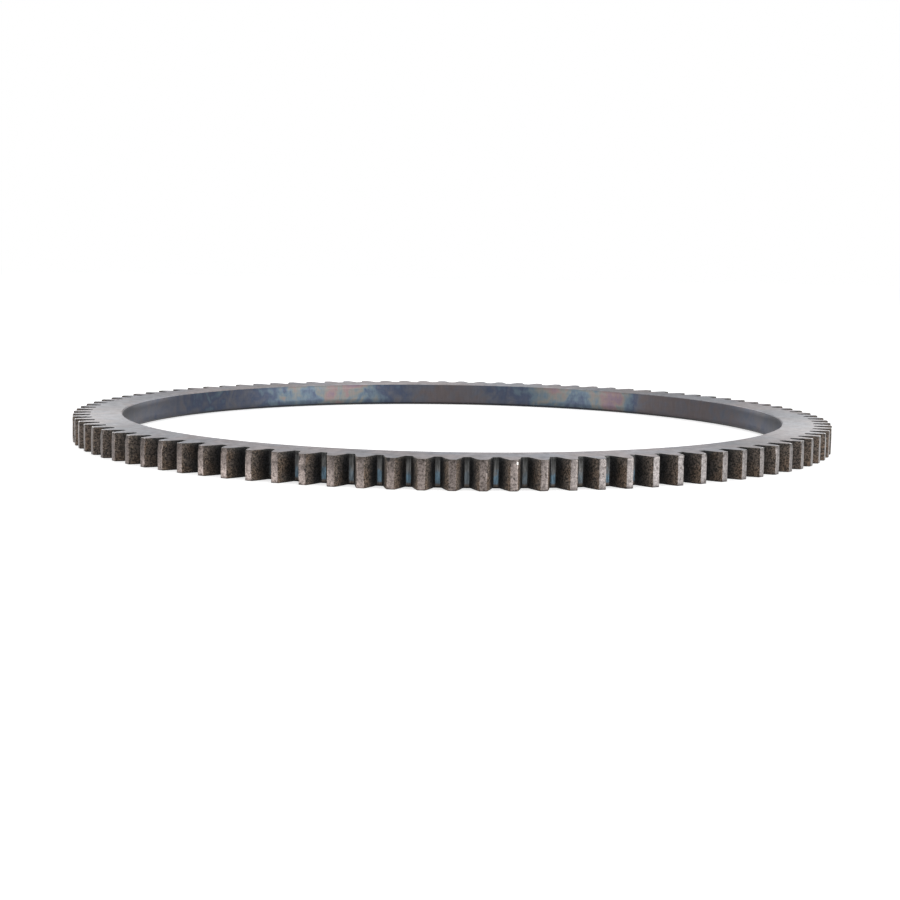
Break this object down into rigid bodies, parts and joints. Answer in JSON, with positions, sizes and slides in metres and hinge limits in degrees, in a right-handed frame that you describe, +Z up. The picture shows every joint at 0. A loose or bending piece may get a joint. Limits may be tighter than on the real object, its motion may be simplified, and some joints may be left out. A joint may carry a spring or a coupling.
{
  "type": "flywheel ring gear",
  "caption": "Thin steel ring with involute spur teeth round its outside and a plain bore, shrunk onto a flywheel so that a starter pinion can turn it.",
  "frame": {"origin": "middle of the bottom face, on the ring's axis", "axes": "+Z up along the ring's axis; one tooth is centred on -Y"},
  "size_m": [0.2514, 0.2514, 0.0084],
  "materials": {
    "steel": "turned faces bare, teeth dark with hardening scale, bore with heat colours"
  },
  "bodies": {
    "root": {"ring_gear": "steel"}
  },
  "joints": []
}
